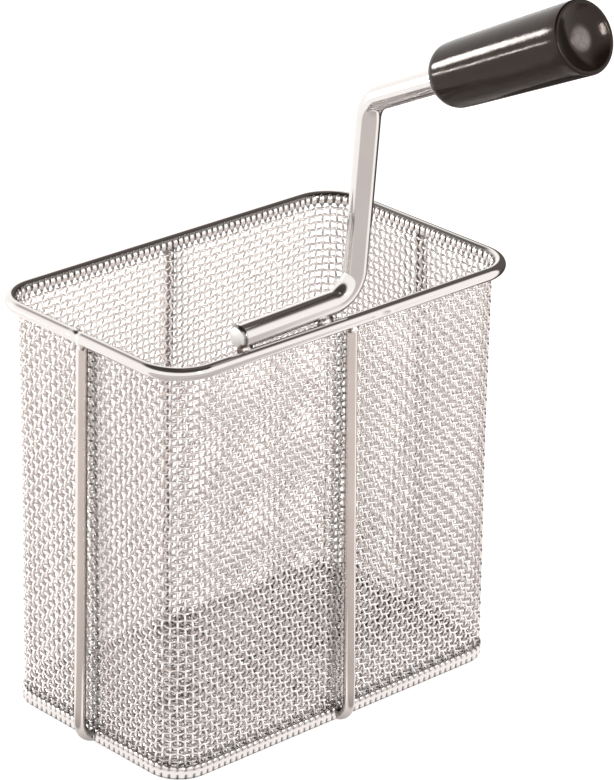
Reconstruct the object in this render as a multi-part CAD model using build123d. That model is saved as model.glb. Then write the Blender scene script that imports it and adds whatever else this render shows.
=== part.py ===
from build123d import *
import math
import os

# Woven wire pasta basket, in millimetres.
# X runs along the long walls and Z is up. The front wall, which carries the handle, faces -Y.
# The origin is on the worktop, under the point where the two cradle bars cross.

# Basket body, measured to the middle of the woven wall
basket_length = 180.0
basket_width = 106.0
corner_radius = 14.0
rim_axis_height = 182.5
hem_bottom = 1.0

# Wire cloth: a thin core with a ridge for each wire standing out of it, upright ones on the outside
mesh_wire = 1.1
wire_pitch = 3.15
core_thickness = 1.1
hem_height = 6.0
hem_fold = 1.1
hem_bevel = 0.7
skirt_thickness = 1.1

# Open cells of the front wall and of the floor, counted in wires between one open cell and the next
open_columns = 11
open_column_step = 4
open_rows = 8
open_row_step = 6
open_cell = 1.9
floor_open_columns = 8
floor_open_rows = 4
floor_open_step = 6

# Round stock
rim_rod = 5.5
bar_rod = 5.0
handle_stock = 10.0
seat_gap = 0.05

# Cradle bars
bar_bend = 8.0
foot_stand_off = 4.35
rim_cope_depth = 1.3

# Handle rod: a run along the front rim, a riser, and an arm out over the front wall
run_end = -57.5
riser_x = 5.0
run_inset = 5.0
run_height_at_end = 6.8
run_height_at_riser = 8.4
riser_lean = 7.4
arm_height = 93.5
arm_rise_angle = 26.0
handle_bend = 13.0

# Grip, from where the arm enters it
arm_to_grip = 47.2
grip_length = 79.8
grip_small_diameter = 26.0
grip_large_diameter = 29.0
grip_small_round = 7.0
grip_large_round = 0.8
dish_depth = 2.2
dish_curve_radius = 30.0
dish_lip = 0.5
bore_depth = 46.0
bore_gap = 0.05

# Weld metal
handle_bead_radius = 3.4
handle_bead_inset = 2.5
handle_bead_to_riser = 18.0
leg_bead_radius = 2.3
leg_bead_sink = 0.6

# Distance that counts as touching when an edge is picked by its height
touch = 0.01
# How far a cutting block runs past what it cuts
overcut = 1.0

weave_half = mesh_wire
core_half = core_thickness / 2
bar_radius = bar_rod / 2
rim_radius = rim_rod / 2
handle_radius = handle_stock / 2
floor_underside = bar_rod
floor_top = floor_underside + 2 * weave_half
rim_offset = weave_half + seat_gap + rim_radius
leg_top_offset = weave_half + seat_gap + bar_radius
hem_outer = weave_half + hem_fold
leg_foot_offset = hem_outer + seat_gap + foot_stand_off
leg_top = rim_axis_height - rim_cope_depth
sleeve_top = rim_axis_height + rim_radius / 2
straight_x = basket_length - 2 * corner_radius
straight_y = basket_width - 2 * corner_radius
perimeter = 2 * (straight_x + straight_y + math.pi * corner_radius)
upright_wires = 2 * round(perimeter / wire_pitch / 2)
upright_pitch = perimeter / upright_wires


def wall_point(run, outward):
    """The point at an arc length along the middle of the wall, moved outward from it.

    The length starts in the middle of the front wall and goes anticlockwise, seen from above.
    """
    run = run % perimeter
    arc = math.pi * corner_radius / 2
    sides = [straight_x / 2, straight_y, straight_x, straight_y, straight_x / 2]
    half_x = basket_length / 2
    half_y = basket_width / 2
    starts = [(0, -half_y), (half_x, -straight_y / 2), (straight_x / 2, half_y), (-half_x, straight_y / 2),
              (-straight_x / 2, -half_y)]
    centres = [(straight_x / 2, -straight_y / 2), (straight_x / 2, straight_y / 2),
               (-straight_x / 2, straight_y / 2), (-straight_x / 2, -straight_y / 2)]
    for side, length in enumerate(sides):
        turn = side * math.pi / 2
        if run <= length or side == 4:
            x, y = starts[side]
            return (x + run * math.cos(turn) + outward * math.sin(turn),
                    y + run * math.sin(turn) - outward * math.cos(turn))
        run -= length
        if run <= arc:
            angle = turn - math.pi / 2 + run / corner_radius
            x, y = centres[side]
            radius = corner_radius + outward
            return (x + radius * math.cos(angle), y + radius * math.sin(angle))
        run -= arc


def rounded_prism(outward, low, high):
    """A solid block of the basket's plan, grown outward from the middle of the wall."""
    plan = RectangleRounded(basket_length + 2 * outward, basket_width + 2 * outward, corner_radius + outward)
    return Pos(0, 0, low) * extrude(plan, high - low)


def rod_along(path, radius):
    """A round rod along a wire."""
    section = Plane(origin=path @ 0, z_dir=path % 0) * Circle(radius)
    return sweep(section, path=path)


def ridged_shell(low, high):
    """The wall's core with one upright ridge on its outside for each upright wire."""
    points = []
    for wire in range(upright_wires):
        points.append(wall_point(wire * upright_pitch, core_half))
        points.append(wall_point((wire + 0.5) * upright_pitch, weave_half))
    outline = make_face(Polyline(*points, close=True))
    return Pos(0, 0, low) * extrude(outline, high - low)


def row_height(row):
    """The height of a level wire, counted up from the floor."""
    return floor_top + (row + 1) * wire_pitch


level_wires = int((rim_axis_height - rim_radius - floor_top) / wire_pitch)


def comb(length, wires, first):
    """A strip with a ridge for each of some parallel wires, for fusing onto the cloth's core.

    The wires lie along X, one wire pitch apart along Z from the first, and stand out towards +Y. The
    strip's back is the middle of the cloth, at Y = 0.
    """
    bottom = first - wire_pitch / 2
    points = [(0, bottom), (core_half, bottom)]
    for wire in range(wires):
        points += [(weave_half, first + wire * wire_pitch), (core_half, bottom + (wire + 1) * wire_pitch)]
    points.append((0, bottom + wires * wire_pitch))
    profile = Plane.YZ * make_face(Polyline(*points, close=True))
    return Pos(-length / 2, 0, 0) * extrude(profile, length, dir=(1, 0, 0))


def make_rim():
    """The ring of round rod round the top of the walls."""
    plan = RectangleRounded(basket_length + 2 * rim_offset, basket_width + 2 * rim_offset,
                            corner_radius + rim_offset)
    return Pos(0, 0, rim_axis_height) * rod_along(plan.wire(), rim_radius)


def bar_shape(wall_distance, radius):
    """A U of round bar in the XZ plane: down one wall, under the floor and up the other."""
    head = wall_distance + leg_top_offset
    foot = wall_distance + leg_foot_offset
    path = FilletPolyline((-head, 0, leg_top), (-foot, 0, bar_radius), (foot, 0, bar_radius),
                          (head, 0, leg_top), radius=bar_bend)
    return rod_along(path.wire(), radius)


def both_bars(radius):
    """The long and the cross cradle bar, whole, at a given radius."""
    return bar_shape(basket_length / 2, radius), Rot(0, 0, 90) * bar_shape(basket_width / 2, radius)


def make_mesh_sleeve():
    """Four woven walls in one piece, hemmed at the bottom."""
    walls = ridged_shell(hem_bottom, sleeve_top)
    hem = rounded_prism(hem_outer, hem_bottom, hem_bottom + hem_height)
    hem_edges = hem.edges().filter_by(lambda edge: abs(edge.center().Z - hem_bottom) < touch
                                      or abs(edge.center().Z - hem_bottom - hem_height) < touch)
    hem = chamfer(hem_edges, hem_bevel)
    sleeve = walls + hem - rounded_prism(-core_half, hem_bottom - overcut, sleeve_top + overcut)
    for turn, depth, length in ((0, basket_width, straight_x), (180, basket_width, straight_x),
                                (90, basket_length, straight_y), (-90, basket_length, straight_y)):
        sleeve += Rot(0, 0, turn) * Pos(0, -depth / 2, 0) * comb(length, level_wires, row_height(0))
    through = 2 * weave_half + overcut
    first_column = -(open_columns - 1) * open_column_step / 2
    first_row = (level_wires - 1 - (open_rows - 1) * open_row_step) // 2
    cells = []
    for column in range(open_columns):
        x = (first_column + column * open_column_step) * upright_pitch
        for row in range(open_rows):
            z = row_height(first_row + row * open_row_step) + wire_pitch / 2
            cells.append(Pos(x, -basket_width / 2, z) * Box(open_cell, through, open_cell))
    return sleeve - cells - list(both_bars(bar_radius + seat_gap))


def floor_comb(length, width):
    """The crowns of the floor's wires along X, side by side across the width, on its upper side."""
    wires = int(width / wire_pitch)
    strip = comb(length, wires, -(wires - 1) * wire_pitch / 2)
    return Rot(-90, 0, 0) * Rot(0, 0, 180) * strip


def make_mesh_floor():
    """The woven floor, with a skirt turned down inside the hem of the walls."""
    edge = -core_half - seat_gap
    core_low = floor_underside + weave_half - core_half
    core_high = core_low + core_thickness
    panel = rounded_prism(edge, hem_bottom, core_high)
    panel = chamfer(panel.faces().sort_by(Axis.Z)[-1].edges(), core_half)
    pocket = rounded_prism(edge - skirt_thickness, hem_bottom - overcut, core_low)
    middle = Pos(0, 0, floor_underside + weave_half)
    above = middle * floor_comb(straight_x, straight_y)
    below = middle * Rot(180, 0, 90) * floor_comb(straight_y, straight_x)
    spacing = floor_open_step * wire_pitch
    cells = middle * GridLocations(spacing, spacing, floor_open_columns, floor_open_rows)
    through = 2 * weave_half + overcut
    openings = [place * Box(open_cell, open_cell, through) for place in cells]
    return panel - pocket + above + below - openings - list(both_bars(bar_radius + seat_gap))


def make_cradle_bars():
    """Both bars, halved into each other where they cross and coped to the underside of the rim."""
    plan = RectangleRounded(basket_length + 2 * rim_offset, basket_width + 2 * rim_offset,
                            corner_radius + rim_offset)
    cope = Pos(0, 0, rim_axis_height) * rod_along(plan.wire(), rim_radius + seat_gap)
    lap = bar_rod + 2 * seat_gap
    upper_half = Pos(0, 0, bar_rod) * Box(lap, lap, bar_rod)
    lower_half = Box(lap, lap, bar_rod)
    long_bar, cross_bar = both_bars(bar_radius)
    return long_bar - cope - upper_half, cross_bar - cope - lower_half


arm_angle = math.radians(arm_rise_angle)
arm_direction = Vector(0, -math.cos(arm_angle), math.sin(arm_angle))
run_y = -(basket_width / 2 + rim_offset) + run_inset
run_start = Vector(run_end, run_y, rim_axis_height + run_height_at_end)
riser_foot = Vector(riser_x, run_y, rim_axis_height + run_height_at_riser)
arm_foot = Vector(riser_x, run_y - riser_lean, rim_axis_height + arm_height)
grip_start = arm_foot + arm_direction * arm_to_grip


def make_handle_rod():
    """The bent rod, from its sawn end on the rim to its end inside the grip."""
    tip = grip_start + arm_direction * (bore_depth - seat_gap)
    path = FilletPolyline(run_start, riser_foot, arm_foot, tip, radius=handle_bend)
    return rod_along(path.wire(), handle_radius)


def make_grip():
    """The tapered grip, turned about the arm, with a blind bore for the rod and a dished outer end."""
    small = grip_small_diameter / 2
    large = grip_large_diameter / 2
    dish_edge = large - grip_large_round - dish_lip
    body = Cone(small, large, grip_length, align=(Align.CENTER, Align.CENTER, Align.MIN))
    ends = body.edges().filter_by(GeomType.CIRCLE).sort_by(lambda edge: edge.radius)
    body = fillet(ends[0], grip_small_round)
    outer_edge = body.edges().filter_by(GeomType.CIRCLE).sort_by(lambda edge: edge.radius)[-1]
    body = fillet(outer_edge, grip_large_round)
    dish_centre = grip_length + math.sqrt(dish_curve_radius ** 2 - dish_edge ** 2)
    dish = Pos(0, 0, dish_centre) * Sphere(dish_curve_radius)
    dish_floor = grip_length - dish_depth
    dish -= Pos(0, 0, dish_floor - dish_curve_radius) * Cylinder(dish_curve_radius, 2 * dish_curve_radius)
    body -= dish
    body -= Pos(0, 0, bore_depth / 2) * Cylinder(handle_radius + bore_gap, bore_depth)
    return Plane(origin=grip_start, z_dir=arm_direction) * body


def straight_room(start, end, radius):
    """The room that a straight stretch of rod takes, with the seating gap round it."""
    way = Vector(*end) - Vector(*start)
    room = Cylinder(radius + seat_gap, way.length, align=(Align.CENTER, Align.CENTER, Align.MIN))
    return Plane(origin=Vector(*start), z_dir=way) * room


def bead(centre, radius, *rooms):
    """A lump of weld metal, cut to seat on the rods that it joins."""
    lump = Pos(*centre) * Sphere(radius)
    for room in rooms:
        lump -= room
    return lump.solids().sort_by(lambda solid: solid.volume)[-1]


def make_weld_beads():
    """Two beads between handle rod and rim, and one under the rim on the outside of each leg."""
    rim_x = basket_length / 2 + rim_offset
    rim_y = basket_width / 2 + rim_offset
    wall_room = rounded_prism(weave_half + seat_gap, 0, sleeve_top + seat_gap)
    front_rim = straight_room((-straight_x / 2, -rim_y, rim_axis_height),
                              (straight_x / 2, -rim_y, rim_axis_height), rim_radius)
    slope = (run_height_at_riser - run_height_at_end) / (riser_x - run_end)
    past_end = (run_end - handle_bead_radius, run_y,
                rim_axis_height + run_height_at_end - slope * handle_bead_radius)
    handle_run = straight_room(past_end, riser_foot, handle_radius)
    beads = []
    for x in (run_end + handle_bead_inset, riser_x - handle_bead_to_riser):
        height = run_height_at_end + slope * (x - run_end)
        distance = math.hypot(run_inset, height)
        seam = (rim_radius + (distance - rim_radius - handle_radius) / 2) / distance
        centre = (x, -rim_y + run_inset * seam, rim_axis_height + height * seam)
        beads.append(bead(centre, handle_bead_radius, front_rim, handle_run, wall_room))
    bead_height = rim_axis_height - rim_radius - leg_bead_sink
    side_rim = straight_room((-rim_x, -straight_y / 2, rim_axis_height),
                             (-rim_x, straight_y / 2, rim_axis_height), rim_radius)
    for turn, wall_distance, rim_room in ((0, basket_width / 2, front_rim), (-90, basket_length / 2, side_rim)):
        head = wall_distance + leg_top_offset
        foot = wall_distance + leg_foot_offset
        leg_room = straight_room((0, -foot, bar_radius), (0, -head, leg_top), bar_radius)
        lump = bead((0, -head - bar_radius, bead_height), leg_bead_radius, leg_room, Rot(0, 0, -turn) * rim_room)
        beads += [Rot(0, 0, turn) * lump, Rot(0, 0, turn + 180) * lump]
    return Compound(children=beads)


def main():
    os.makedirs("parts", exist_ok=True)
    long_bar, cross_bar = make_cradle_bars()
    parts = {
        "rim": make_rim(),
        "mesh_sleeve": make_mesh_sleeve(),
        "mesh_floor": make_mesh_floor(),
        "long_cradle_bar": long_bar,
        "cross_cradle_bar": cross_bar,
        "handle_rod": make_handle_rod(),
        "grip": make_grip(),
        "weld_beads": make_weld_beads(),
    }
    for name, shape in parts.items():
        export_step(shape, f"parts/{name}.step")


main()
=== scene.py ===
import math

import bmesh
import bpy
import numpy as np
from mathutils import Matrix, Vector


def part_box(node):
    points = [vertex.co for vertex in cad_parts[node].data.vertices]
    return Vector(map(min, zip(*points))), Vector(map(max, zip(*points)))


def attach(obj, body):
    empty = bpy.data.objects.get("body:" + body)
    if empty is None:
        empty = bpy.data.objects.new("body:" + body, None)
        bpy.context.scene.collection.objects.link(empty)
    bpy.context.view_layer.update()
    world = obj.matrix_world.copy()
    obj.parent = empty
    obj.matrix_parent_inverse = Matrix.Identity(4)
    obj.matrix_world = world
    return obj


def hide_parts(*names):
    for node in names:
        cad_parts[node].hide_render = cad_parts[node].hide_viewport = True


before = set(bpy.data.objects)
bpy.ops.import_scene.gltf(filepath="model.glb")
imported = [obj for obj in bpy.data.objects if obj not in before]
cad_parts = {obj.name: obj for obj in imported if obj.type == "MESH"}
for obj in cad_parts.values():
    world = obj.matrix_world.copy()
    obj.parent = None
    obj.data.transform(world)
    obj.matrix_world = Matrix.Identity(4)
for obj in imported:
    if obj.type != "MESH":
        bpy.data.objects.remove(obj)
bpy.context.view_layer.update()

MM = 0.001

# Driving sizes of the basket, in metres, as in the solids
WIRE = 1.1 * MM
WIRE_PITCH = 3.15 * MM
CORNER_RADIUS = 14 * MM
RIM_ROD = 5.5 * MM
BAR_ROD = 5.0 * MM
HANDLE_ROD = 10.0 * MM
SEAT_GAP = 0.05 * MM
HEM_OUTER = 2.2 * MM
HEM_HEIGHT = 6.0 * MM
BAR_BEND = 8.0 * MM
FOOT_STAND_OFF = 4.35 * MM
RIM_COPE_DEPTH = 1.3 * MM
HANDLE_BEND = 13.0 * MM
RUN_END = -57.5 * MM
RISER_X = 5.0 * MM
RUN_INSET = 5.0 * MM
RUN_HEIGHT_AT_END = 6.8 * MM
RUN_HEIGHT_AT_RISER = 8.4 * MM
RISER_LEAN = 7.4 * MM
ARM_HEIGHT = 93.5 * MM
ARM_RISE = math.radians(26.0)
ARM_TO_GRIP = 47.2 * MM
GRIP_LENGTH = 79.8 * MM
GRIP_SMALL = 26.0 * MM
GRIP_LARGE = 29.0 * MM

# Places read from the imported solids
sleeve_low, sleeve_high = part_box("mesh_sleeve")
rim_low, rim_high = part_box("rim")
_, floor_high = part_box("mesh_floor")
HALF_LENGTH = sleeve_high.x - HEM_OUTER
HALF_WIDTH = sleeve_high.y - HEM_OUTER
HEM_BOTTOM = sleeve_low.z
RIM_Z = (rim_low.z + rim_high.z) / 2
FLOOR_TOP = floor_high.z

# Sizes that follow from them
WIRE_RADIUS = WIRE / 2
RIM_RADIUS = RIM_ROD / 2
BAR_RADIUS = BAR_ROD / 2
HANDLE_RADIUS = HANDLE_ROD / 2
RIM_OFFSET = WIRE + SEAT_GAP + RIM_RADIUS
STRAIGHT_X = 2 * (HALF_LENGTH - CORNER_RADIUS)
STRAIGHT_Y = 2 * (HALF_WIDTH - CORNER_RADIUS)
PERIMETER = 2 * (STRAIGHT_X + STRAIGHT_Y + math.pi * CORNER_RADIUS)
UPRIGHTS = 2 * round(PERIMETER / WIRE_PITCH / 2)
UPRIGHT_PITCH = PERIMETER / UPRIGHTS
HEM_TOP = HEM_BOTTOM + HEM_HEIGHT
FIRST_LEVEL = HEM_TOP + 0.6 * WIRE_PITCH
LAST_LEVEL = RIM_Z - RIM_RADIUS - 0.3 * WIRE_PITCH
LEVELS = int((LAST_LEVEL - FIRST_LEVEL) / WIRE_PITCH) + 1
LEVEL_PITCH = (LAST_LEVEL - FIRST_LEVEL) / (LEVELS - 1)

# Sides of the round sections, and points of a wire for each crossing
WIRE_SIDES = 6
FLOOR_WIRE_SIDES = 5
RIM_SIDES = 40
BAR_SIDES = 36
HANDLE_SIDES = 56
GRIP_SIDES = 96
SAMPLES = 3

# Tones of the wires, from the slopes of the crimp to its crowns: painted shade between crossing wires
WALL_SLOPE_SHADE = 0.8
WALL_CROWN_TONE = 1.0
FLOOR_SLOPE_SHADE = 0.18
FLOOR_CROWN_TONE = 0.6

# The flattened end of an upright on the rim, from below: mm above the rim's axis, factors of the wire's
# section across and through, and tone, darker low down as painted shade under the rim
RIM_END = ((-2.7, 1.1, 1.0, 0.35), (-2.1, 1.8, 0.95, 0.35), (-1.3, 2.4, 0.9, 1.0), (-0.2, 2.55, 0.9, 1.0),
           (0.7, 2.4, 0.85, 1.0), (1.5, 1.8, 0.7, 1.0), (2.0, 0.7, 0.35, 1.0))

# The hem's section, up its outer side and down its inner one. Each row has, in mm, its height, its place
# outward of the wall, the depth of the groove between two wires, and how far it swells outward and upward at
# each wire. Then come how far painted shade darkens the groove, and the tone, lowest at the folded bottom
# edge as a painted shadow.
HEM_SECTION = (
    (0.00, 0.35, 0.00, 0.000, 0.00, 0.00, 0.06),
    (0.12, 0.85, 0.00, 0.000, 0.00, 0.00, 0.06),
    (0.35, 1.20, 0.25, 0.048, 0.00, 0.93, 0.06),
    (0.80, 1.50, 0.42, 0.048, 0.00, 0.93, 0.26),
    (1.40, 1.66, 0.48, 0.048, 0.00, 0.93, 0.72),
    (2.10, 1.72, 0.48, 0.048, 0.00, 0.93, 0.72),
    (2.90, 1.74, 0.32, 0.048, 0.00, 0.00, 0.72),
    (3.70, 1.72, 0.00, 0.048, 0.00, 0.00, 0.72),
    (4.40, 1.66, 0.00, 0.120, 0.00, 0.75, 0.72),
    (5.00, 1.52, 0.00, 0.120, 0.00, 0.75, 0.72),
    (5.50, 1.28, 0.00, 0.120, 0.18, 0.75, 0.72),
    (5.85, 0.95, 0.00, 0.120, 0.18, 0.00, 0.72),
    (6.00, 0.60, 0.00, 0.000, 0.18, 0.00, 0.72),
    (5.60, -0.35, 0.00, 0.000, 0.18, 0.75, 0.72),
    (3.00, -0.50, 0.00, 0.000, 0.00, 0.00, 0.72),
    (0.40, -0.35, 0.00, 0.000, 0.00, 0.93, 0.06))

# Rings of the handle rod's sawn end: mm along the rod, share of its section, and tone
SAWN_END = ((0.0, 0.8344, 1.0), (0.02, 0.838, 0.8), (0.9, 0.995, 0.12), (0.93, 1.0, 0.2), (2.0, 1.0, 1.0))

# The etched disc in the grip's dish, rough and painted grey as a reflection: its radius, and rings inside
# it as mm of radius, mm of rise, and tone
DISC_RADIUS = 5.6 * MM
DISC_EDGE_TONE = 0.05
DISC_RINGS = ((5.0, 0.12, 0.25), (4.3, 0.45, 0.65), (3.08, 1.0, 1.0), (1.68, 1.3, 1.0), (0.05, 1.4, 1.0))


# Meshes


def unit(vectors):
    """Rows of vectors brought to length one."""
    return vectors / np.linalg.norm(vectors, axis=1, keepdims=True)


def ring_faces(rings, sides, closed=False):
    """Four-sided faces from each ring of corners to the next, and from the last to the first if closed."""
    low = np.arange(rings if closed else rings - 1)[:, None] * sides
    high = (low + sides) % (rings * sides)
    here = np.arange(sides)
    there = np.roll(here, -1)
    return np.stack([low + here, low + there, high + there, high + here], axis=2).reshape(-1, 4)


def end_faces(base, rings, sides):
    """The flat faces over the first and the last ring of corners."""
    last = base + (rings - 1) * sides
    return [range(base + sides - 1, base - 1, -1), range(last, last + sides)]


def tube_mesh(paths, across, radius, sides, closed, flatten):
    """The corners, four-sided faces and end faces of many tubes.

    paths and across hold each tube's points and its first section axes there. flatten, if given, holds two
    factors for each point, across and through.
    """
    vertices = []
    faces = []
    ends = []
    base = 0
    angles = np.arange(sides) * 2 * math.pi / sides
    for number, (path, axis) in enumerate(zip(paths, across)):
        if closed:
            along = unit(np.roll(path, -1, axis=0) - np.roll(path, 1, axis=0))
        else:
            along = unit(np.gradient(path, axis=0))
        first = unit(axis - (axis * along).sum(axis=1, keepdims=True) * along)
        second = np.cross(along, first)
        if flatten is not None:
            first = first * flatten[number][:, :1]
            second = second * flatten[number][:, 1:]
        ring = (path[:, None, :]
                + radius * np.cos(angles)[None, :, None] * first[:, None, :]
                + radius * np.sin(angles)[None, :, None] * second[:, None, :])
        vertices.append(ring.reshape(-1, 3))
        faces.append(base + ring_faces(len(path), sides, closed))
        if not closed:
            ends += end_faces(base, len(path), sides)
        base += len(path) * sides
    return np.concatenate(vertices), np.concatenate(faces), ends


def new_piece(name, vertices, quads, others=()):
    """A smooth mesh object from arrays of corners and four-sided faces, with any further faces as lists."""
    mesh = bpy.data.meshes.new(name)
    mesh.vertices.add(len(vertices))
    mesh.vertices.foreach_set("co", np.asarray(vertices, np.float32).ravel())
    loops = np.concatenate([np.asarray(face, np.int32).ravel() for face in (quads, *others)])
    sizes = np.array([4] * len(quads) + [len(face) for face in others], np.int32)
    starts = np.concatenate([[0], np.cumsum(sizes)[:-1]]).astype(np.int32)
    mesh.loops.add(len(loops))
    mesh.loops.foreach_set("vertex_index", loops)
    mesh.polygons.add(len(sizes))
    mesh.polygons.foreach_set("loop_start", starts)
    mesh.polygons.foreach_set("loop_total", sizes)
    mesh.update(calc_edges=True)
    mesh.validate()
    mesh.polygons.foreach_set("use_smooth", np.ones(len(mesh.polygons), bool))
    piece = bpy.data.objects.new(name, mesh)
    bpy.context.scene.collection.objects.link(piece)
    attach(piece, "root")
    return piece


def add_tone(piece, tones):
    """A grey tone for each corner of a mesh: painted shade and a dark bevel on steel, and the grip's etched
    disc.
    """
    layer = piece.data.color_attributes.new("tone", "FLOAT_COLOR", "POINT")
    layer.data.foreach_set("color", np.repeat(np.asarray(tones, np.float32), 4))


def tubes(name, paths, across, radius, sides, closed=False, flatten=None, tones=None):
    """A piece made of tubes, with flat ends where they are open. tones holds a tone for each point."""
    piece = new_piece(name, *tube_mesh(paths, across, radius, sides, closed, flatten))
    if tones is not None:
        add_tone(piece, np.repeat(np.concatenate(tones), sides))
    return piece


# Wire cloth


def wall_frame(run):
    """Points on the middle of the wall and the outward directions there, for arc lengths along it.

    The length starts in the middle of the front wall and goes anticlockwise, seen from above.
    """
    run = np.mod(np.asarray(run, float), PERIMETER)
    arc = math.pi * CORNER_RADIUS / 2
    inner_x = STRAIGHT_X / 2
    inner_y = STRAIGHT_Y / 2
    lengths = [inner_x, arc, STRAIGHT_Y, arc, STRAIGHT_X, arc, STRAIGHT_Y, arc, inner_x]
    starts = [(0, -HALF_WIDTH), (HALF_LENGTH, -inner_y), (inner_x, HALF_WIDTH), (-HALF_LENGTH, inner_y),
              (-inner_x, -HALF_WIDTH)]
    centres = [(inner_x, -inner_y), (inner_x, inner_y), (-inner_x, inner_y), (-inner_x, -inner_y)]
    point = np.zeros((len(run), 2))
    outward = np.zeros((len(run), 2))
    begin = 0.0
    for index, length in enumerate(lengths):
        last = index == len(lengths) - 1
        here = (run >= begin) & ((run < begin + length) | last)
        along = run[here] - begin
        side = index // 2
        turn = side * math.pi / 2
        if index % 2 == 0:
            point[here] = np.array(starts[side]) + np.outer(along, (math.cos(turn), math.sin(turn)))
            outward[here] = (math.sin(turn), -math.cos(turn))
        else:
            angle = turn - math.pi / 2 + along / CORNER_RADIUS
            outward[here] = np.stack([np.cos(angle), np.sin(angle)], axis=1)
            point[here] = np.array(centres[side]) + CORNER_RADIUS * outward[here]
        begin += length
    return point, outward


def on_wall(run, depth, height):
    """Points at depths outward of the middle of the wall, and the level directions along the wall there."""
    point, outward = wall_frame(run)
    path = np.column_stack([point + outward * depth[:, None], height])
    return path, np.column_stack([-outward[:, 1], outward[:, 0], np.zeros(len(path))])


def crimp(phase):
    """The offset of a crimped wire, from -1 to 1, and flat on its crowns. A crossing takes a phase of pi."""
    return np.clip(np.sin(phase) / math.sin(math.pi / SAMPLES), -1, 1)


def crimp_shade(offset, low, high):
    """Painted shade on the slopes of the crimp, where crossing wires meet, and lighter on its crowns."""
    return low + (high - low) * np.abs(offset) / WIRE_RADIUS


def bulge(run, height):
    """Small inward waves of the cloth between the legs and the corners."""
    depth = 0.45 * MM
    share = (height - HEM_TOP) / (RIM_Z - HEM_TOP)
    belly = np.sin(math.pi * np.clip(share, 0, 1))
    wave = 0.5 + 0.5 * np.sin(8 * math.pi * run / PERIMETER + 5.0 * share + 0.7)
    return -depth * belly * wave


def waves(run, height, *parts):
    """Sine waves over the walls, each with its size, its count round them and its turn up their height."""
    return sum(size * np.sin(count * run / PERIMETER * 2 * math.pi + climb * height / RIM_Z)
               for size, count, climb in parts)


def drift(run, height):
    """Small sideways waves of the upright wires."""
    return waves(run, height, (0.16 * MM, 31, 21), (0.12 * MM, 7, -34))


def sag(run, height):
    """Small ups and downs of the level wires."""
    return waves(run, height, (0.13 * MM, 13, 45), (0.10 * MM, 29, -17))


def shade_by_hem_and_legs(run, height):
    """Painted shade on the wire just above the hem, and beside each leg on the side that faces the front
    left corner.
    """
    fade_start = HEM_TOP + 0.6 * MM
    fade = 1.9 * MM
    from_leg = 3.4 * MM
    spread = 2.0 * MM
    left_leg = 1.5 * (STRAIGHT_X + STRAIGHT_Y + math.pi * CORNER_RADIUS)
    tone = 1 - 0.62 * np.exp(-(np.maximum(height - fade_start, 0) / fade) ** 2)
    for leg, sign in ((0.0, -1), (left_leg, 1)):
        past = np.mod((run - leg) * sign + PERIMETER / 2, PERIMETER) - PERIMETER / 2
        tone = tone * (1 - 0.5 * np.exp(-((past - from_leg) / spread) ** 2))
    return tone


def upright_wire(index):
    """One upright wire from the hem to just under the rim: its path, section axes and painted-shade tones.
    """
    run = (index + 0.5) * UPRIGHT_PITCH
    phases = np.arange(-SAMPLES, LEVELS * SAMPLES)
    heights = FIRST_LEVEL + (phases / SAMPLES - 0.5) * LEVEL_PITCH
    offset = WIRE_RADIUS * crimp(math.pi * phases / SAMPLES) * (1 if index % 2 else -1)
    keep = heights > HEM_TOP - WIRE
    heights = heights[keep]
    offset = offset[keep]
    runs = run + drift(run, heights)
    path, across = on_wall(runs, offset + bulge(run, heights), heights)
    return path, across, crimp_shade(offset, WALL_SLOPE_SHADE, WALL_CROWN_TONE) * shade_by_hem_and_legs(runs, heights)


def rim_end(path, across, tones, index):
    """An upright carried on to its flattened end on the inner face of the rim, with its flattening."""
    rises, wide, deep, end_tones = np.array(RIM_END).T
    rises = rises * MM
    run = (index + 0.5) * UPRIGHT_PITCH
    runs = np.full(len(rises), run + drift(run, path[-1, 2]))
    off_rim = 0.8 * WIRE_RADIUS
    rim_face = RIM_OFFSET - np.sqrt(RIM_RADIUS ** 2 - np.maximum(rises, 0) ** 2)
    end_path, end_across = on_wall(runs, rim_face - off_rim, RIM_Z + rises)
    flatten = np.concatenate([np.ones((len(path), 2)), np.column_stack([wide, deep])])
    return (np.concatenate([path, end_path]), np.concatenate([across, end_across]),
            np.concatenate([tones, end_tones]), flatten)


def level_wire(row):
    """One closed level wire, over and under all the uprights: its path, section axes and painted-shade
    tones.
    """
    phases = np.arange(UPRIGHTS * SAMPLES)
    run = phases / SAMPLES * UPRIGHT_PITCH
    height = FIRST_LEVEL + row * LEVEL_PITCH
    offset = WIRE_RADIUS * crimp(math.pi * phases / SAMPLES) * (-1 if row % 2 else 1)
    heights = height + sag(run, height)
    path, _ = on_wall(run, offset + bulge(run, height), heights)
    across = np.tile([0.0, 0.0, 1.0], (len(path), 1))
    return path, across, crimp_shade(offset, WALL_SLOPE_SHADE, WALL_CROWN_TONE) * shade_by_hem_and_legs(run, heights)


def weave(name, wires, sides=WIRE_SIDES, closed=False):
    """A piece of wires, each with its path, section axes and tones, and its flattening if it has any."""
    paths, across, tones, *flatten = zip(*wires)
    return tubes(name, paths, across, WIRE_RADIUS, sides, closed, flatten[0] if flatten else None, tones)


def wall_wires():
    """The uprights of the front and the back half of the walls, then their lower and upper level wires."""
    pieces = []
    half = UPRIGHTS // 2
    first = -half // 2
    for part in ("front", "back"):
        wires = [rim_end(*upright_wire(index), index) for index in range(first, first + half)]
        pieces.append(weave(f"upright_wires_{part}", wires))
        first += half
    middle = LEVELS // 2
    for part, rows in (("lower", range(middle)), ("upper", range(middle, LEVELS))):
        pieces.append(weave(f"level_wires_{part}", [level_wire(row) for row in rows], closed=True))
    return pieces


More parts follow.
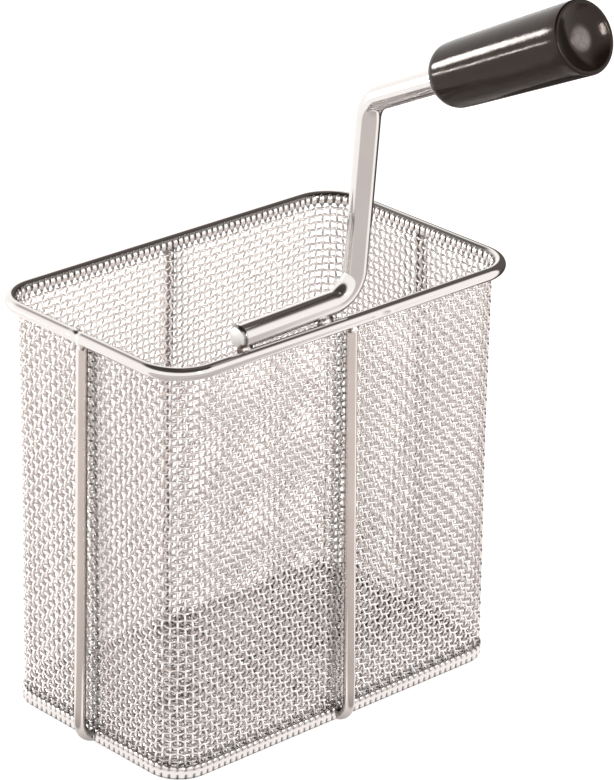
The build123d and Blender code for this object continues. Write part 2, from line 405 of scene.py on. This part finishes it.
def hem_band():
    """The pressed fold at the foot of the walls: a smooth strip with a groove between every two wires."""
    steps = 8
    groove_width = 1.15
    phases = np.arange(UPRIGHTS * steps)
    run = phases / steps * UPRIGHT_PITCH
    groove = np.exp(-((np.mod(phases, steps) - steps / 2) / groove_width) ** 2)
    wave = np.cos(2 * math.pi * phases / steps)
    rows = []
    tones = []
    # The grooves' darkening is painted shade, and the tone's lowest rows are a painted shadow under the
    # fold.
    for height, place, depth, swell, climb, groove_shade, tone in HEM_SECTION:
        outward = place + swell * wave - depth * groove
        row, _ = on_wall(run, outward * MM, HEM_BOTTOM + (height + climb * wave) * MM)
        rows.append(row)
        tones.append(tone * (1 - groove_shade * groove))
    band = new_piece("hem_band", np.concatenate(rows), ring_faces(len(rows), len(run), closed=True))
    add_tone(band, np.concatenate(tones))
    return [band]


def floor_wires():
    """The woven floor, its wires cut to the rounded plan just inside the walls, with painted shade at their
    ends.
    """
    pieces = []
    end_shade_length = 4 * MM
    end_shade = 0.15
    sway = 0.12 * MM
    for name, long_half, cross_half, turn in (("floor_wires_long", HALF_LENGTH, HALF_WIDTH, False),
                                              ("floor_wires_cross", HALF_WIDTH, HALF_LENGTH, True)):
        count = int(2 * (cross_half - WIRE) / WIRE_PITCH)
        crossings = int(2 * (long_half - WIRE) / WIRE_PITCH)
        first = -crossings * SAMPLES // 2 - SAMPLES
        last = crossings * SAMPLES // 2 + SAMPLES
        phases = np.arange(first, last + 1) / SAMPLES
        whole_along = (phases + (0.5 if crossings % 2 == 0 else 0.0)) * WIRE_PITCH
        whole_offset = WIRE_RADIUS * crimp(math.pi * (phases + 0.5))
        wires = []
        for wire in range(count):
            side = (wire - (count - 1) / 2) * WIRE_PITCH
            past = max(0.0, abs(side) - (cross_half - CORNER_RADIUS))
            rounding = CORNER_RADIUS - math.sqrt(max(0.0, CORNER_RADIUS ** 2 - past ** 2))
            reach = long_half - rounding - WIRE_RADIUS - SEAT_GAP
            keep = np.abs(whole_along) < reach
            along = whole_along[keep]
            offset = whole_offset[keep] * (1 if (wire + turn) % 2 else -1)
            wander = side + sway * np.sin(along / WIRE_PITCH * 0.7 + wire * 1.9)
            plan = [wander, along] if turn else [along, wander]
            path = np.column_stack([*plan, FLOOR_TOP - WIRE + offset])
            across = np.tile([1.0, 0.0, 0.0] if turn else [0.0, 1.0, 0.0], (len(path), 1))
            to_end = np.clip((reach - np.abs(along)) / end_shade_length, end_shade, 1)
            wires.append((path, across, crimp_shade(offset, FLOOR_SLOPE_SHADE, FLOOR_CROWN_TONE) * to_end))
        pieces.append(weave(name, wires, FLOOR_WIRE_SIDES))
    return pieces


# Rods


def evenly(start, end, length):
    """Points after start and up to end, in equal steps of about a length."""
    divisions = max(1, int((end - start).length / length))
    return [start.lerp(end, division / divisions) for division in range(1, divisions + 1)]


def rounded_path(points, radius, step):
    """Points along straight runs joined by arcs of one radius, a step apart in the arcs."""
    points = [Vector(point) for point in points]
    path = [points[0]]
    for before, corner, after in zip(points, points[1:], points[2:]):
        come = (before - corner).normalized()
        leave = (after - corner).normalized()
        half = come.angle(leave) / 2
        start = corner + come * (radius / math.tan(half))
        centre = corner + (come + leave).normalized() * (radius / math.sin(half))
        turn = math.pi - 2 * half
        spokes = max(6, int(turn * radius / step))
        axis = come.cross(leave).normalized()
        path += evenly(path[-1], start, 4 * step)
        for spoke in range(1, spokes + 1):
            path.append(centre + Matrix.Rotation(-turn * spoke / spokes, 3, axis) @ (start - centre))
    path += evenly(path[-1], points[-1], 4 * step)
    return np.array([list(point) for point in path])


def carried_axes(path, first):
    """Section axes carried along a path with no twist."""
    axes = [np.array(first, float)]
    for direction in unit(np.gradient(path, axis=0)):
        axis = axes[-1] - axes[-1].dot(direction) * direction
        axes.append(axis / np.linalg.norm(axis))
    return np.array(axes[1:])


def add_rod_uv(piece, path, radius, sides, closed):
    """A UV map in metres: along the rod and round it."""
    mesh = piece.data
    corners = np.zeros(len(mesh.loops), np.int32)
    mesh.loops.foreach_get("vertex_index", corners)
    totals = np.zeros(len(mesh.polygons), np.int32)
    mesh.polygons.foreach_get("loop_total", totals)
    face = np.repeat(np.arange(len(totals)), totals)

    def joins_ends(values, last):
        """For each corner, whether its face runs from the last value back to the first, zero."""
        least = np.full(len(totals), last)
        most = np.zeros(len(totals), int)
        np.minimum.at(least, face, values)
        np.maximum.at(most, face, values)
        return ((least == 0) & (most == last))[face]

    lengths = np.cumsum([0, *np.linalg.norm(np.diff(path, axis=0), axis=1)])
    whole = lengths[-1] + np.linalg.norm(path[0] - path[-1])
    ring = corners // sides
    side = corners % sides
    comes_round = joins_ends(side, sides - 1) & (totals == 4)[face] & (side == 0)
    closes = closed & joins_ends(ring, len(path) - 1) & (ring == 0)
    u = np.where(closes, whole, lengths[ring])
    v = np.where(comes_round, sides, side) / sides * 2 * math.pi * radius
    layer = mesh.uv_layers.new(name="rod")
    layer.data.foreach_set("uv", np.column_stack([u, v]).astype(np.float32).ravel())


def rod(name, path, first_axis, radius, sides, closed=False, factors=None, dents=None):
    """A round rod along dense points. factors scale its section point by point, and dents move its skin."""
    if closed:
        axes = np.tile(np.array(first_axis, float), (len(path), 1))
    else:
        axes = carried_axes(path, first_axis)
    flatten = None if factors is None else [np.column_stack([factors, factors])]
    piece = tubes(name, [path], [axes], radius, sides, closed, flatten)
    add_rod_uv(piece, path, radius, sides, closed)
    if dents is not None:
        for vertex in piece.data.vertices:
            vertex.co = dents(vertex.co)
    return piece


def arc_points(centre, radius, start, end, count):
    """Points on an arc in a plane, angles in degrees."""
    angles = [math.radians(start + (end - start) * step / count) for step in range(count + 1)]
    return [(centre[0] + radius * math.cos(angle), centre[1] + radius * math.sin(angle)) for angle in angles]


def rim_path(long_half, wide_half, radius):
    """Dense points round the rim's axis, anticlockwise from the start of its front right corner."""
    spacing = 0.8 * MM
    corner_steps = 24
    arcs = []
    for sign_x, sign_y, start in ((1, -1, -90), (1, 1, 0), (-1, 1, 90), (-1, -1, 180)):
        centre = (sign_x * (long_half - radius), sign_y * (wide_half - radius))
        arcs.append(arc_points(centre, radius, start, start + 90, corner_steps))
    plan = []
    for arc, following in zip(arcs, arcs[1:] + arcs[:1]):
        plan += arc
        divisions = int(math.dist(arc[-1], following[0]) / spacing)
        for division in range(1, divisions):
            share = division / divisions
            plan.append(tuple(a + (b - a) * share for a, b in zip(arc[-1], following[0])))
    return np.column_stack([plan, np.full(len(plan), RIM_Z)])


def rim_piece():
    """The rim's ring, butt welded on the left side just behind the leg, with a small fused spot in front."""
    long_half = HALF_LENGTH + RIM_OFFSET
    wide_half = HALF_WIDTH + RIM_OFFSET
    path = rim_path(long_half, wide_half, CORNER_RADIUS + RIM_OFFSET)
    on_left = path[:, 0] < -long_half + 0.01 * MM
    factors = np.ones(len(path))
    for change, place, spread in ((-0.085, 1.0 * MM, 0.75 * MM), (0.02, 3.6 * MM, 1.6 * MM)):
        factors[on_left] += change * np.exp(-((path[on_left, 1] - place) / spread) ** 2)
    spot_x = 14.5 * MM
    spot_z = RIM_Z + RIM_RADIUS * 0.1
    spot_length = 4.2 * MM
    spot_height = 0.85 * MM
    hollow_depth = 0.32 * MM
    edge_rise = 0.16 * MM

    def dents(place):
        """The fused spot: a shallow oval hollow with a raised edge."""
        across = math.hypot((place.x - spot_x) / spot_length, (place.z - spot_z) / spot_height)
        if place.y > -wide_half or across > 1.8:
            return place
        hollow = hollow_depth * math.exp(-1.6 * across ** 2)
        edge = edge_rise * math.exp(-((across - 1.05) / 0.25) ** 2)
        return place + Vector((0, hollow - edge, 0))

    ring = rod("rim_ring", path, (0, 0, 1), RIM_RADIUS, RIM_SIDES, closed=True, factors=factors, dents=dents)
    # The rim's inner face is darkened as painted shade.
    outward = np.sin(np.arange(RIM_SIDES) * 2 * math.pi / RIM_SIDES)
    inner_face_shade = np.clip((-0.5 - outward) / 0.2, 0, 1)
    add_tone(ring, np.tile(1 - 0.65 * inner_face_shade, len(path)))
    return ring


def bar_piece(name, wall, turn):
    """A cradle bar down one wall, under the floor and up the other, with painted shade at its foot and near
    the wall.
    """
    spacing = 0.45 * MM
    foot_shade = 0.3
    foot_top = 1 * MM
    fade = 16 * MM
    top = RIM_Z - RIM_COPE_DEPTH
    head = wall + WIRE + SEAT_GAP + BAR_RADIUS
    foot = wall + HEM_OUTER + SEAT_GAP + FOOT_STAND_OFF
    points = [(-head, 0, top), (-foot, 0, BAR_RADIUS), (foot, 0, BAR_RADIUS), (head, 0, top)]
    path = rounded_path(points, BAR_BEND, spacing)
    if turn:
        path = np.column_stack([-path[:, 1], path[:, 0], path[:, 2]])
    bar = rod(name, path, (1, 0, 0) if turn else (0, 1, 0), BAR_RADIUS, BAR_SIDES)
    skin = np.zeros(3 * len(bar.data.vertices))
    bar.data.vertices.foreach_get("co", skin)
    skin = skin.reshape(-1, 3)
    outward = 1 if turn else 0
    middle = np.repeat(np.abs(path[:, outward]), BAR_SIDES)
    facing_out = (np.abs(skin[:, outward]) - middle) / BAR_RADIUS
    # Painted shade on the side towards the wall, and up from the foot.
    wall_side_shade = np.clip((0.1 - facing_out) / 0.5, 0, 1) * (middle > wall)
    foot_shade_factor = foot_shade + (1 - foot_shade) * np.clip((skin[:, 2] - foot_top) / fade, 0, 1)
    add_tone(bar, foot_shade_factor * (1 - 0.6 * wall_side_shade))
    return bar


arm_direction = Vector((0, -math.cos(ARM_RISE), math.sin(ARM_RISE)))
rim_front = -(HALF_WIDTH + RIM_OFFSET)
run_y = rim_front + RUN_INSET
run_start = Vector((RUN_END, run_y, RIM_Z + RUN_HEIGHT_AT_END))
riser_foot = Vector((RISER_X, run_y, RIM_Z + RUN_HEIGHT_AT_RISER))
arm_foot = Vector((RISER_X, run_y - RISER_LEAN, RIM_Z + ARM_HEIGHT))
grip_start = arm_foot + arm_direction * ARM_TO_GRIP


def handle_piece():
    """The bent rod, with a small dark bevel round its sawn end."""
    into_grip = 20 * MM
    spacing = 0.8 * MM
    tip = grip_start + arm_direction * into_grip
    path = rounded_path([run_start, riser_foot, arm_foot, tip], HANDLE_BEND, spacing)
    forward = (path[1] - path[0]) / np.linalg.norm(path[1] - path[0])
    along, end_factors, end_tones = np.array(SAWN_END).T
    path = np.concatenate([path[0] + np.outer(along * MM, forward), path[1:]])
    plain = np.ones(len(path) - len(along))
    factors = np.concatenate([end_factors, plain])
    bar = rod("handle_bar", path, (0, 0, 1), HANDLE_RADIUS, HANDLE_SIDES, factors=factors)
    add_tone(bar, np.repeat(np.concatenate([end_tones, plain]), HANDLE_SIDES))
    for polygon in bar.data.polygons:
        if polygon.loop_total > 4 and min(polygon.vertices) == 0:
            polygon.material_index = 1
    return bar


# Grip and weld metal


def lathe(name, profile, origin, axis, sides):
    """A turned piece. The profile is a list of (radius, height) points."""
    up = Vector(axis).normalized()
    first = up.orthogonal().normalized()
    second = up.cross(first)
    angles = np.arange(sides) * 2 * math.pi / sides
    spokes = np.outer(np.cos(angles), first) + np.outer(np.sin(angles), second)
    radii, heights = np.array(profile).T
    vertices = np.array(origin) + np.outer(heights, up)[:, None, :] + radii[:, None, None] * spokes
    faces = ring_faces(len(profile), sides)
    return new_piece(name, vertices.reshape(-1, 3), faces, end_faces(0, len(profile), sides))


def grip_piece():
    """The tapered grip: a rounded inner end, and a shallow dish with an etched disc in its outer end."""
    small = GRIP_SMALL / 2
    large = GRIP_LARGE / 2
    shoulder = 7.0 * MM
    lip = 0.8 * MM
    taper_steps = 12
    dish_steps = 14
    dish_radius = 30.0 * MM
    dish_edge = large - lip - 0.5 * MM
    dish_centre = GRIP_LENGTH + math.sqrt(dish_radius ** 2 - dish_edge ** 2)
    profile = [(HANDLE_RADIUS * 0.98, 0.5 * MM), (HANDLE_RADIUS + 0.35 * MM, 0.0)]
    profile += arc_points((small - shoulder, shoulder), shoulder, -88, 1, 12)
    for step in range(1, taper_steps):
        height = shoulder + (GRIP_LENGTH - lip - shoulder) * step / taper_steps
        profile.append((small + (large - small) * height / GRIP_LENGTH, height))
    profile += arc_points((large - lip, GRIP_LENGTH - lip), lip, 0, 90, 7)
    profile.append((dish_edge + 0.12 * MM, GRIP_LENGTH - 0.02 * MM))
    for step in range(dish_steps + 1):
        radius = dish_edge + (DISC_RADIUS - dish_edge) * step / dish_steps
        profile.append((radius, dish_centre - math.sqrt(dish_radius ** 2 - radius ** 2)))
    # The tone marks the disc, which the material makes rough and paints grey as a reflection.
    etched = [0.0] * (len(profile) - 1) + [DISC_EDGE_TONE]
    base = profile[-1][1]
    for radius, rise, tone in DISC_RINGS:
        profile.append((radius * MM, base + rise * MM))
        etched.append(tone)
    body = lathe("grip_body", profile, grip_start, arm_direction, GRIP_SIDES)
    add_tone(body, np.repeat(etched, GRIP_SIDES))
    return body


def lumps(name, places):
    """Lumps of weld metal in one piece. Each place is a centre, three half sizes and a seed."""
    vertices = []
    faces = []
    for centre, sizes, seed in places:
        base = len(vertices)
        ball = bmesh.new()
        bmesh.ops.create_icosphere(ball, subdivisions=3, radius=1.0)
        for vertex in ball.verts:
            direction = vertex.co.normalized()
            ripple = (1 + 0.08 * math.sin(7 * direction.x + seed) * math.sin(6 * direction.z - seed)
                      + 0.05 * math.sin(15 * direction.x + 9 * direction.y + 2 * seed))
            vertices.append([c + d * size * ripple for c, d, size in zip(centre, direction, sizes)])
        faces += [[base + vertex.index for vertex in face.verts] for face in ball.faces]
        ball.free()
    return new_piece(name, vertices, [], faces)


def weld_piece():
    """Weld metal between handle rod and rim, and under the rim at the head of each leg."""
    run_bead = (3.9 * MM, 2.5 * MM, 2.5 * MM)
    long_bead = (1.7 * MM, 2.7 * MM, 1.9 * MM)
    cross_bead = (2.7 * MM, 1.7 * MM, 1.9 * MM)
    # How far the seam lies from the rim's axis towards the rod's
    seam = 0.36
    slope = (RUN_HEIGHT_AT_RISER - RUN_HEIGHT_AT_END) / (RISER_X - RUN_END)
    places = []
    for x, seed in ((RUN_END + 1.5 * MM, 1.3), (RISER_X - 18.0 * MM, 2.3)):
        height = RUN_HEIGHT_AT_END + slope * (x - RUN_END)
        centre = (x, rim_front + RUN_INSET * seam, RIM_Z + height * seam)
        places.append((centre, run_bead, seed))
    outward = WIRE + SEAT_GAP + BAR_RADIUS + 1.1 * MM
    under_rim = RIM_Z - RIM_RADIUS - 0.4 * MM
    for side in (-1, 1):
        long_head = (side * (HALF_LENGTH + outward), 0, under_rim)
        cross_head = (0, side * (HALF_WIDTH + outward), under_rim)
        places.append((long_head, long_bead, 3.1 + side))
        places.append((cross_head, cross_bead, 6.2 + side))
    return lumps("weld_metal", places)


# Materials


def feed(tree, socket, value):
    """A socket linked to another one or set to a constant. A colour is three numbers."""
    if isinstance(value, bpy.types.NodeSocket):
        tree.links.new(value, socket)
    elif socket.type == "RGBA":
        socket.default_value = (*value, 1)
    else:
        socket.default_value = value


def add_node(tree, kind, inputs, **settings):
    """A new shader node, with its settings and with what feeds each of its inputs."""
    node = tree.nodes.new(kind)
    for name, value in settings.items():
        setattr(node, name, value)
    for key, value in inputs.items():
        feed(tree, node.inputs[key], value)
    return node


def shader(name, base, metallic, roughness):
    """A new material with one principled shader: the material, its tree and the shader's inputs."""
    material = bpy.data.materials.new(name)
    material.use_nodes = True
    tree = material.node_tree
    surface = tree.nodes["Principled BSDF"].inputs
    feed(tree, surface["Base Color"], base)
    feed(tree, surface["Metallic"], metallic)
    feed(tree, surface["Roughness"], roughness)
    return material, tree, surface


def coordinates(tree, kind="Object"):
    """The texture coordinates of one kind."""
    return tree.nodes.new("ShaderNodeTexCoord").outputs[kind]


def tone_of(tree):
    """The node that reads a mesh's tone."""
    return add_node(tree, "ShaderNodeAttribute", {}, attribute_name="tone")


def noise(tree, source, scale, detail, stretch=(1, 1, 1)):
    """A noise read from a coordinate socket, with a stretch on each axis."""
    mapping = add_node(tree, "ShaderNodeMapping", {"Vector": source, "Scale": stretch})
    texture = add_node(tree, "ShaderNodeTexNoise",
                       {"Vector": mapping.outputs["Vector"], "Scale": scale, "Detail": detail})
    return texture.outputs["Fac"]


def mix_colour(tree, factor, low, high, blend="MIX"):
    """A mix of two colours by a factor."""
    inputs = {"Factor": factor, 6: low, 7: high}
    return add_node(tree, "ShaderNodeMix", inputs, data_type="RGBA", blend_type=blend).outputs[2]


def shaded_by_tone(tree, colour):
    """A colour multiplied by the mesh's tone, which carries painted shade."""
    return mix_colour(tree, 1.0, colour, tone_of(tree).outputs["Color"], "MULTIPLY")


def range_of(tree, value, low, high, start=0.3, end=0.7):
    """A number that goes from low to high while a value goes from start to end."""
    inputs = {"Value": value, "From Min": start, "From Max": end, "To Min": low, "To Max": high}
    return add_node(tree, "ShaderNodeMapRange", inputs).outputs["Result"]


def bump(tree, surface, height, strength, distance):
    """A bump map on a surface, from a height socket."""
    node = add_node(tree, "ShaderNodeBump", {"Strength": strength, "Distance": distance, "Height": height})
    feed(tree, surface["Normal"], node.outputs["Normal"])


def drawn_steel(name, base, other, roughness, spread):
    """Drawn rod: lines along the rod and faint patches of finish."""
    material, tree, surface = shader(name, base, 1.0, roughness)
    lines = noise(tree, coordinates(tree, "UV"), 900, 3, (0.02, 1, 1))
    patches = noise(tree, coordinates(tree), 70, 4)
    steel = mix_colour(tree, patches, base, other)
    # The mesh's tone darkens the rod's steel as painted shade, and at the sawn end's bevel.
    feed(tree, surface["Base Color"], shaded_by_tone(tree, steel))
    feed(tree, surface["Roughness"], range_of(tree, patches, roughness - spread, roughness + spread))
    bump(tree, surface, lines, 0.35, 0.02 * MM)
    return material


def wire_steel():
    """Woven wire: soft shine, changing a little from wire to wire and along them."""
    material, tree, surface = shader("woven wire", (0.86, 0.83, 0.81), 1.0, 0.3)
    patches = noise(tree, coordinates(tree), 120, 3)
    grain = noise(tree, coordinates(tree), 2500, 2)
    steel = mix_colour(tree, patches, (0.93, 0.885, 0.865), (0.99, 0.965, 0.955))
    # The mesh's tone darkens the wire as painted shade.
    feed(tree, surface["Base Color"], shaded_by_tone(tree, steel))
    feed(tree, surface["Roughness"], range_of(tree, patches, 0.20, 0.30))
    bump(tree, surface, grain, 0.2, 0.04 * MM)
    return material


def sawn_steel():
    """The sawn end of the handle rod: pale, rough and scored by the saw."""
    material, tree, surface = shader("sawn end", (0.9, 0.89, 0.88), 0.35, 0.55)
    scores = noise(tree, coordinates(tree), 700, 2, (1, 0.1, 1))
    feed(tree, surface["Base Color"], mix_colour(tree, scores, (0.80, 0.79, 0.78), (0.97, 0.96, 0.95)))
    bump(tree, surface, scores, 0.3, 0.1 * MM)
    return material


def weld_steel():
    """Weld metal: lumpy, with heat tint and dark scale in its hollows."""
    material, tree, surface = shader("weld metal", (0.6, 0.57, 0.55), 1.0, 0.3)
    relief = noise(tree, coordinates(tree), 420, 5)
    tint = range_of(tree, noise(tree, coordinates(tree), 260, 3), 0, 1, 0.36, 0.52)
    feed(tree, surface["Base Color"], mix_colour(tree, tint, (0.92, 0.90, 0.89), (0.22, 0.17, 0.15)))
    feed(tree, surface["Roughness"], range_of(tree, relief, 0.15, 0.5))
    bump(tree, surface, relief, 0.8, 0.6 * MM)
    return material


def black_plastic():
    """Moulded phenolic: nearly black and glossy, with a faint flow texture and a rough etched disc painted
    grey as a reflection.
    """
    material, tree, surface = shader("black grip", (0.012, 0.010, 0.010), 0.0, 0.12)
    flow = noise(tree, coordinates(tree), 180, 3)
    fine = noise(tree, coordinates(tree), 1500, 2)
    etch = noise(tree, coordinates(tree), 900, 3)
    etched = tone_of(tree).outputs["Fac"]
    black = mix_colour(tree, flow, (0.007, 0.0045, 0.0035), (0.013, 0.008, 0.006))
    # The disc's grey is a painted reflection; its rougher finish is its own.
    disc = mix_colour(tree, etch, (0.14, 0.12, 0.11), (0.30, 0.27, 0.26))
    gloss = range_of(tree, flow, 0.09, 0.17)
    rough = add_node(tree, "ShaderNodeMix", {"Factor": etched, 2: gloss, 3: 0.5})
    hatch = add_node(tree, "ShaderNodeMath", {0: flow, 1: 6.0, 2: fine}, operation="MULTIPLY_ADD")
    feed(tree, surface["Base Color"], mix_colour(tree, etched, black, disc))
    feed(tree, surface["Roughness"], rough.outputs["Result"])
    feed(tree, surface["Specular IOR Level"], 0.28)
    feed(tree, surface["Specular Tint"], (1.0, 0.84, 0.75))
    bump(tree, surface, hatch.outputs["Value"], 0.12, 0.08 * MM)
    return material


polished = drawn_steel("polished rod", (0.72, 0.705, 0.69), (0.66, 0.645, 0.63), 0.10, 0.03)
satin = drawn_steel("satin rod", (0.82, 0.77, 0.74), (0.71, 0.66, 0.63), 0.14, 0.04)
woven = wire_steel()
weld = weld_steel()
plastic = black_plastic()

walls = wall_wires() + hem_band()
floor = floor_wires()
ring = rim_piece()
long_bar = bar_piece("long_bar", HALF_LENGTH, False)
cross_bar = bar_piece("cross_bar", HALF_WIDTH, True)
handle = handle_piece()
grip = grip_piece()
welds = weld_piece()

for pieces, node, slot, material in (
        (walls, "mesh_sleeve", "woven_steel", woven),
        (floor, "mesh_floor", "woven_steel", woven),
        ([ring], "rim", "polished_steel", polished),
        ([long_bar], "long_cradle_bar", "satin_steel", satin),
        ([cross_bar], "cross_cradle_bar", "satin_steel", satin),
        ([handle], "handle_rod", "polished_steel", polished),
        ([grip], "grip", "black_grip", plastic),
        ([welds], "weld_beads", "weld_metal", weld)):
    for piece in pieces:
        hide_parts(node)
        piece.data.materials.append(material)
handle.data.materials.append(sawn_steel())


# Studio. Azimuths are in degrees, anticlockwise from +X. Each side fades in between two cosines of the angle
# to its middle.
WHITE = (1.36, 1.31, 1.29)
SHADE_AZIMUTH = -123
SHADE_COSINES = (0.26, 0.40)
SHADE_NEAR = (0.60, 0.55, 0.53)
SHADE_FAR = (0.80, 0.735, 0.71)
SHADE_REACH = (0.09, 0.30)
STRIP_EDGE = (0.012, 0.020)
DARK_AZIMUTH = 12
DARK_COSINES = (0.80, 0.86)
DARK_COLOUR = (0.10, 0.085, 0.08)


def vector_math(tree, operation, first, second=None, output="Vector"):
    """The result of a vector operation on one socket, and on a second vector if it takes one."""
    inputs = {0: first} if second is None else {0: first, 1: second}
    return add_node(tree, "ShaderNodeVectorMath", inputs, operation=operation).outputs[output]


def toward(tree, direction, azimuth, cosines):
    """A factor that rises from 0 to 1 as a level direction nears an azimuth."""
    angle = math.radians(azimuth)
    facing = vector_math(tree, "DOT_PRODUCT", direction, (math.cos(angle), math.sin(angle), 0), "Value")
    return range_of(tree, facing, 0, 1, *cosines)


def with_dark_side(tree, direction, colour):
    """A colour that gives way to the dark side of the studio."""
    return mix_colour(tree, toward(tree, direction, DARK_AZIMUTH, DARK_COSINES), colour, DARK_COLOUR)


def mix_shader(tree, factor, low, high):
    """A mix of two shaders by a factor."""
    return add_node(tree, "ShaderNodeMixShader", {"Fac": factor, 1: low, 2: high}).outputs["Shader"]


def studio_world():
    """White for the camera. For all else bright round the horizon, dark overhead and on one narrow side."""
    world = bpy.data.worlds.new("studio")
    bpy.context.scene.world = world
    world.use_nodes = True
    tree = world.node_tree
    tree.nodes.clear()
    place = coordinates(tree, "Generated")
    height = add_node(tree, "ShaderNodeSeparateXYZ", {"Vector": place}).outputs["Z"]
    band = add_node(tree, "ShaderNodeValToRGB", {"Fac": height})
    stops = band.color_ramp.elements
    stops[0].position = 0.0
    stops[0].color = (0.95, 0.94, 0.93, 1)
    stops[1].position = 1.0
    stops[1].color = (0.05, 0.041, 0.037, 1)
    for position, level in ((0.50, 0.98), (0.615, 0.86), (0.69, 0.36), (0.76, 0.07)):
        stop = stops.new(position)
        stop.color = (level, level * 0.95, level * 0.92, 1)
    direction = vector_math(tree, "NORMALIZE", vector_math(tree, "MULTIPLY", place, (1, 1, 0)))
    seen = with_dark_side(tree, direction, band.outputs["Color"])
    room = add_node(tree, "ShaderNodeBackground", {"Color": seen, "Strength": 1.4}).outputs["Background"]
    white = add_node(tree, "ShaderNodeBackground", {"Color": (1, 1, 1)}).outputs["Background"]
    rays = tree.nodes.new("ShaderNodeLightPath").outputs
    both = mix_shader(tree, rays["Is Camera Ray"], room, white)
    add_node(tree, "ShaderNodeOutputWorld", {"Surface": both})


def studio_floor():
    """A pale floor: white to the camera apart from a faint shadow.

    The metal mirrors a white strip round the basket, a greyer shaded side beyond it, and a narrow dark side.
    """
    half = 2.0
    corners = [(-half, -half, 0), (half, -half, 0), (half, half, 0), (-half, half, 0)]
    mesh = bpy.data.meshes.new("floor")
    mesh.from_pydata(corners, [], [(0, 1, 2, 3)])
    plane = bpy.data.objects.new("floor", mesh)
    bpy.context.scene.collection.objects.link(plane)
    material = bpy.data.materials.new("floor")
    material.use_nodes = True
    tree = material.node_tree
    tree.nodes.clear()
    place = coordinates(tree)
    flat = vector_math(tree, "MULTIPLY", place, (1, 1, 0))
    direction = vector_math(tree, "NORMALIZE", flat)
    reach = vector_math(tree, "LENGTH", flat, output="Value")
    shade = mix_colour(tree, range_of(tree, reach, 0, 1, *SHADE_REACH), SHADE_NEAR, SHADE_FAR)
    shaded = mix_colour(tree, toward(tree, direction, SHADE_AZIMUTH, SHADE_COSINES), WHITE, shade)
    base = (HALF_LENGTH + HEM_OUTER, HALF_WIDTH + HEM_OUTER, 0)
    past = vector_math(tree, "SUBTRACT", vector_math(tree, "ABSOLUTE", place), base)
    split = add_node(tree, "ShaderNodeSeparateXYZ", {"Vector": past}).outputs
    outside = add_node(tree, "ShaderNodeMath", {0: split["X"], 1: split["Y"]}, operation="MAXIMUM")
    beyond_strip = range_of(tree, outside.outputs["Value"], 0, 1, *STRIP_EDGE)
    seen = with_dark_side(tree, direction, mix_colour(tree, beyond_strip, WHITE, shaded))
    paint = add_node(tree, "ShaderNodeBsdfDiffuse", {"Color": (0.8, 0.8, 0.8)}).outputs["BSDF"]
    glow = add_node(tree, "ShaderNodeEmission", {"Color": (1, 1, 1), "Strength": 0.75}).outputs["Emission"]
    mirrored = add_node(tree, "ShaderNodeEmission", {"Color": seen}).outputs["Emission"]
    rays = tree.nodes.new("ShaderNodeLightPath").outputs
    for_camera = add_node(tree, "ShaderNodeAddShader", {0: paint, 1: glow}).outputs["Shader"]
    for_rest = mix_shader(tree, rays["Is Glossy Ray"], paint, mirrored)
    both = mix_shader(tree, rays["Is Camera Ray"], for_rest, for_camera)
    add_node(tree, "ShaderNodeOutputMaterial", {"Surface": both})
    plane.data.materials.append(material)


def area_light(name, azimuth, elevation, distance, width, height, power):
    """A soft box that points at the basket, its angles in degrees and its sizes in metres."""
    a = math.radians(azimuth)
    e = math.radians(elevation)
    aim = Vector((0, -0.02, 0.13))
    direction = Vector((math.cos(a) * math.cos(e), math.sin(a) * math.cos(e), math.sin(e)))
    data = bpy.data.lights.new(name, "AREA")
    data.shape = "RECTANGLE"
    data.size = width
    data.size_y = height
    data.energy = power
    lamp = bpy.data.objects.new(name, data)
    lamp.location = aim + direction * distance
    lamp.rotation_euler = (-direction).to_track_quat("-Z", "Y").to_euler()
    bpy.context.scene.collection.objects.link(lamp)


studio_world()
studio_floor()
area_light("left back box", 114.2, 14.2, 1.42, 0.30, 0.24, 7.0)
area_light("left low strip", 127.8, -0.6, 1.30, 0.30, 0.045, 1.4)
area_light("front window", -88, 26.7, 1.72, 0.14, 0.34, 5.0)


# Camera at the photograph's angle
AZIMUTH = math.radians(-42.715)
ELEVATION = math.radians(23.616)
ROLL = math.radians(0.864)
DISTANCE = 1710.12 * MM
FOCAL_PIXELS = 4058.60
PHOTO_HEIGHT = 780
SENSOR = 36.0
target = Vector((28.37, 0, 125.33)) * MM
towards = Vector((math.sin(AZIMUTH) * math.cos(ELEVATION), -math.cos(AZIMUTH) * math.cos(ELEVATION),
                  math.sin(ELEVATION)))
right = Vector((0, 0, 1)).cross(towards).normalized()
up = towards.cross(right)
rolled_right = right * math.cos(ROLL) + up * math.sin(ROLL)
rolled_up = up * math.cos(ROLL) - right * math.sin(ROLL)
turned = Matrix((rolled_right, rolled_up, towards)).transposed()
camera_data = bpy.data.cameras.new("camera")
camera_data.sensor_fit = "AUTO"
camera_data.sensor_width = SENSOR
camera_data.lens = FOCAL_PIXELS * SENSOR / PHOTO_HEIGHT
camera = bpy.data.objects.new("camera", camera_data)
camera.matrix_world = Matrix.Translation(target + towards * DISTANCE) @ turned.to_4x4()
bpy.context.scene.collection.objects.link(camera)
bpy.context.scene.camera = camera
bpy.context.scene.view_settings.view_transform = "Standard"
